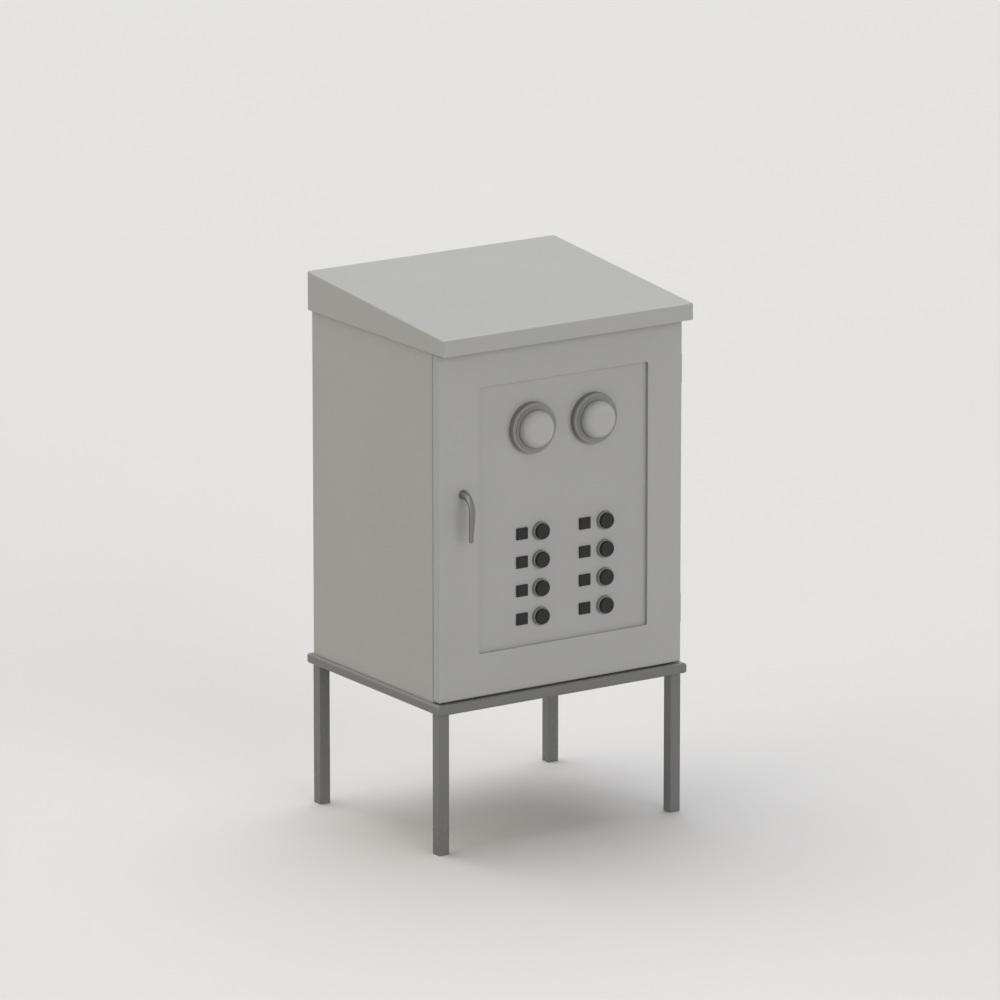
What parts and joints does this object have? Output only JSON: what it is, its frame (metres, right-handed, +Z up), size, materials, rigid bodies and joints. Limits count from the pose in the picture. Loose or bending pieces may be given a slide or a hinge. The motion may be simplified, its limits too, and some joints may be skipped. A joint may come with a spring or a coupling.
{
  "type": "electrical control cabinet",
  "caption": "Free-standing sheet-metal control cabinet on a legged frame, with a sloped rain roof and a hinged door carrying signal lamps, push buttons and a lever latch.",
  "frame": {"origin": "middle of the overall footprint, on the floor", "axes": "+Z up, the door faces -Y, +X to the right seen from the door side"},
  "size_m": [0.62, 0.532, 1.1412],
  "materials": {
    "cabinet_paint": "semi-gloss light grey paint",
    "frame_paint": "satin mid-grey paint",
    "zinc": "bright zinc plate",
    "handle_metal": "satin cast metal",
    "lamp_metal": "satin grey",
    "lamp_opal": "opal",
    "lamp_can": "moulded",
    "lamp_board": "laminate",
    "button_metal": "satin grey",
    "button_black": "moulded",
    "legend_black": "moulded",
    "device_plastic": "moulded",
    "relay_plastic": "moulded",
    "terminal_plastic": "moulded",
    "toggle_black": "moulded",
    "gasket_rubber": "foam",
    "plug_plastic": "moulded"
  },
  "bodies": {
    "cabinet": {"base_rail_front": "frame_paint", "base_rail_left": "frame_paint", "base_rail_rear": "frame_paint", "base_rail_right": "frame_paint", "cabinet_floor": "cabinet_paint", "cabinet_top": "cabinet_paint", "cabinet_wrap": "cabinet_paint", "control_relays": "relay_plastic", "frame_bolts": "zinc", "frame_nuts": "zinc", "gland_plate": "zinc", "gland_screws": "zinc", "hinge_frame_leaves": "cabinet_paint", "hinge_pins": "zinc", "leg_front_left": "frame_paint", "leg_front_right": "frame_paint", "leg_plugs": "plug_plastic", "leg_rear_left": "frame_paint", "leg_rear_right": "frame_paint", "main_breaker": "device_plastic", "mounting_plate": "zinc", "mounting_rail_lower": "zinc", "mounting_rail_upper": "zinc", "plate_nuts": "zinc", "plate_studs": "zinc", "rail_screws": "zinc", "rain_roof": "cabinet_paint", "roof_bolts": "zinc", "roof_posts": "cabinet_paint", "terminal_blocks": "terminal_plastic"},
    "door": {"button_bezels": "button_metal", "button_nuts": "button_black", "contact_blocks": "device_plastic", "door_gasket": "gasket_rubber", "door_panel": "cabinet_paint", "handle_nut": "zinc", "handle_rose": "handle_metal", "hinge_door_leaves": "cabinet_paint", "lamp_bezel_left": "lamp_metal", "lamp_bezel_right": "lamp_metal", "lamp_boards": "lamp_board", "lamp_housing_left": "lamp_can", "lamp_housing_right": "lamp_can", "lamp_lens_left": "lamp_opal", "lamp_lens_right": "lamp_opal", "legend_plates": "legend_black"},
    "handle": {"handle_lever": "handle_metal", "handle_spindle": "zinc", "latch_cam": "zinc", "cam_screw": "zinc"},
    "breaker_toggle": {"breaker_toggle": "toggle_black"},
    "button_1": {"button_cap_1": "button_black"},
    "button_2": {"button_cap_2": "button_black"},
    "button_3": {"button_cap_3": "button_black"},
    "button_4": {"button_cap_4": "button_black"},
    "button_5": {"button_cap_5": "button_black"},
    "button_6": {"button_cap_6": "button_black"},
    "button_7": {"button_cap_7": "button_black"},
    "button_8": {"button_cap_8": "button_black"}
  },
  "joints": [
    {"name": "door_hinge", "type": "hinge", "parent": "cabinet", "child": "door", "pos_m": [0.307, -0.2044, 0.69025], "axis": [0, 0, 1], "range_deg": [0, 120]},
    {"name": "handle_turn", "type": "hinge", "parent": "door", "child": "handle", "pos_m": [-0.241, -0.2254, 0.75855], "axis": [0, -1, 0], "range_deg": [0, 90]},
    {"name": "breaker_switch", "type": "hinge", "parent": "cabinet", "child": "breaker_toggle", "pos_m": [-0.16, 0.1576, 0.84025], "axis": [1, 0, 0], "range_deg": [0, 60]},
    {"name": "button_1_press", "type": "slide", "parent": "door", "child": "button_1", "axis": [0, 1, 0], "range_m": [0, 0.004], "stiffness_N_per_m": 600},
    {"name": "button_2_press", "type": "slide", "parent": "door", "child": "button_2", "axis": [0, 1, 0], "range_m": [0, 0.004], "stiffness_N_per_m": 600},
    {"name": "button_3_press", "type": "slide", "parent": "door", "child": "button_3", "axis": [0, 1, 0], "range_m": [0, 0.004], "stiffness_N_per_m": 600},
    {"name": "button_4_press", "type": "slide", "parent": "door", "child": "button_4", "axis": [0, 1, 0], "range_m": [0, 0.004], "stiffness_N_per_m": 600},
    {"name": "button_5_press", "type": "slide", "parent": "door", "child": "button_5", "axis": [0, 1, 0], "range_m": [0, 0.004], "stiffness_N_per_m": 600},
    {"name": "button_6_press", "type": "slide", "parent": "door", "child": "button_6", "axis": [0, 1, 0], "range_m": [0, 0.004], "stiffness_N_per_m": 600},
    {"name": "button_7_press", "type": "slide", "parent": "door", "child": "button_7", "axis": [0, 1, 0], "range_m": [0, 0.004], "stiffness_N_per_m": 600},
    {"name": "button_8_press", "type": "slide", "parent": "door", "child": "button_8", "axis": [0, 1, 0], "range_m": [0, 0.004], "stiffness_N_per_m": 600}
  ]
}
